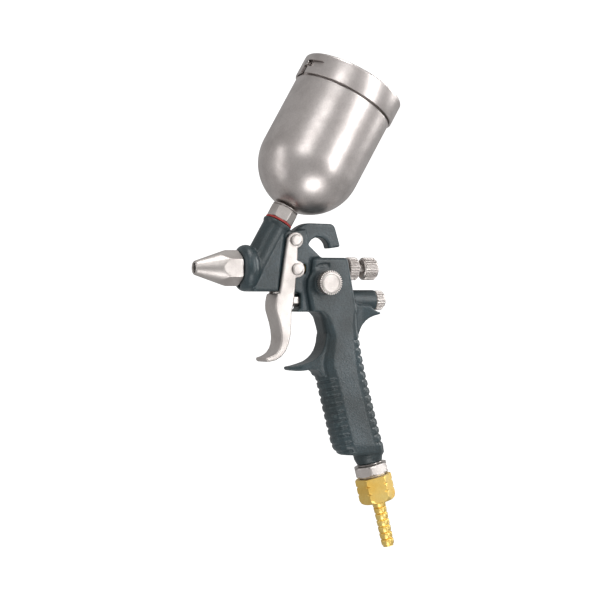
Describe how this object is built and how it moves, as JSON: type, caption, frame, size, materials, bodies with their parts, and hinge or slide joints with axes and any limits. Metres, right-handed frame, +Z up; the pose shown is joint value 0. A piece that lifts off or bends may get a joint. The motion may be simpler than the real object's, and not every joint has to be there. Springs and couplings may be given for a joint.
{
  "type": "gravity feed mini spray gun",
  "caption": "Hand-held gravity-feed spray gun: leaning steel paint cup with bayonet lid, dark cast body with ribbed pistol grip, bright trigger and knobs, brass hose tail.",
  "frame": {"origin": "seat of the hanging hook, the highest point of the hook's round hole, in the gun's middle plane", "axes": "+X from the nozzle to the rear knobs, +Y to the gun's right-hand side away from the side knob, +Z up towards the cup"},
  "size_m": [0.1131, 0.0556, 0.2573],
  "materials": {
    "paint": "dark green-grey baked enamel, satin",
    "steel": "satin blasted stainless steel",
    "nickel": "satin nickel plate",
    "brass": "turned brass, unlacquered",
    "fibre": "pressed red fibre",
    "rubber": "black nitrile rubber",
    "ptfe": "white PTFE"
  },
  "bodies": {
    "gun": {"gun_body": "paint", "fluid_nozzle": "steel", "nozzle_gasket": "fibre", "needle_packing": "ptfe", "needle_packing_nut": "brass", "needle_spring": "steel", "needle_collar": "nickel", "pivot_screw": "nickel", "pivot_nut": "nickel", "valve_packing_nut": "nickel", "valve_packing": "ptfe", "valve_spring": "steel", "side_gland": "nickel", "side_o_ring": "rubber", "inlet_washer": "steel", "inlet_nipple": "nickel", "coupling_seal": "rubber", "cup_gasket": "fibre", "cup_spigot": "nickel", "cup_washer": "steel", "cup_inner_nut": "nickel", "cup_shell": "steel", "bayonet_pin_front": "steel", "bayonet_pin_rear": "steel"},
    "trigger": {"trigger": "nickel", "yoke_stud_near": "nickel", "yoke_stud_far": "nickel"},
    "needle": {"needle": "steel", "needle_carrier": "brass"},
    "valve_stem": {"valve_stem": "steel", "poppet_seal": "rubber"},
    "air_cap": {"air_cap": "nickel"},
    "needle_knob": {"needle_knob": "nickel"},
    "valve_cap": {"valve_cap": "nickel"},
    "side_knob": {"side_knob": "nickel"},
    "coupling_nut": {"coupling_nut": "brass"},
    "hose_tail": {"hose_tail": "brass"},
    "lid_seal": {"lid_seal": "rubber"},
    "lid": {"lid": "steel", "lid_vent": "nickel"}
  },
  "joints": [
    {"name": "trigger_pull", "type": "hinge", "parent": "gun", "child": "trigger", "pos_m": [-0.0144, 0, -0.0018], "axis": [0, -1, 0], "range_deg": [0, 10], "stiffness_Nm_per_rad": 1.2, "springref_deg": -17.19},
    {"name": "needle_slide", "type": "slide", "parent": "gun", "child": "needle", "axis": [1, 0, 0], "range_m": [0, 0.0027], "deforming": ["needle_spring"]},
    {"name": "air_valve_slide", "type": "slide", "parent": "gun", "child": "valve_stem", "axis": [1, 0, 0], "range_m": [0, 0.0056], "deforming": ["valve_spring"]},
    {"name": "air_cap_turn", "type": "hinge", "parent": "gun", "child": "air_cap", "pos_m": [-0.058, 0, -0.0162], "axis": [1, 0, 0], "continuous": true},
    {"name": "needle_knob_turn", "type": "hinge", "parent": "gun", "child": "needle_knob", "pos_m": [0.03, 0, -0.0162], "axis": [1, 0, 0], "continuous": true},
    {"name": "valve_cap_turn", "type": "hinge", "parent": "gun", "child": "valve_cap", "pos_m": [0.035, 0, -0.0326], "axis": [1, 0, 0], "continuous": true},
    {"name": "side_knob_turn", "type": "hinge", "parent": "gun", "child": "side_knob", "pos_m": [0.0018, -0.013, -0.0236], "axis": [0, -1, 0], "continuous": true},
    {"name": "coupling_nut_turn", "type": "hinge", "parent": "gun", "child": "coupling_nut", "pos_m": [0.03419, 0, -0.13078], "axis": [0.2419, 0, -0.9703], "continuous": true},
    {"name": "hose_tail_swivel", "type": "hinge", "parent": "gun", "child": "hose_tail", "pos_m": [0.03806, 0, -0.14631], "axis": [0.2419, 0, -0.9703], "continuous": true},
    {"name": "lid_lift", "type": "slide", "parent": "gun", "child": "lid_seal", "axis": [0.5, 0, 0.866], "range_m": [0, 0.02]},
    {"name": "lid_turn", "type": "hinge", "parent": "lid_seal", "child": "lid", "pos_m": [0.0186, 0, 0.07658], "axis": [-0.5, 0, -0.866], "range_deg": [0, 22]}
  ],
  "couplings": [
    {"joint": "needle_slide", "follows": "trigger_pull", "m_per_rad": 0.0149},
    {"joint": "air_valve_slide", "follows": "trigger_pull", "m_per_rad": 0.0315}
  ]
}
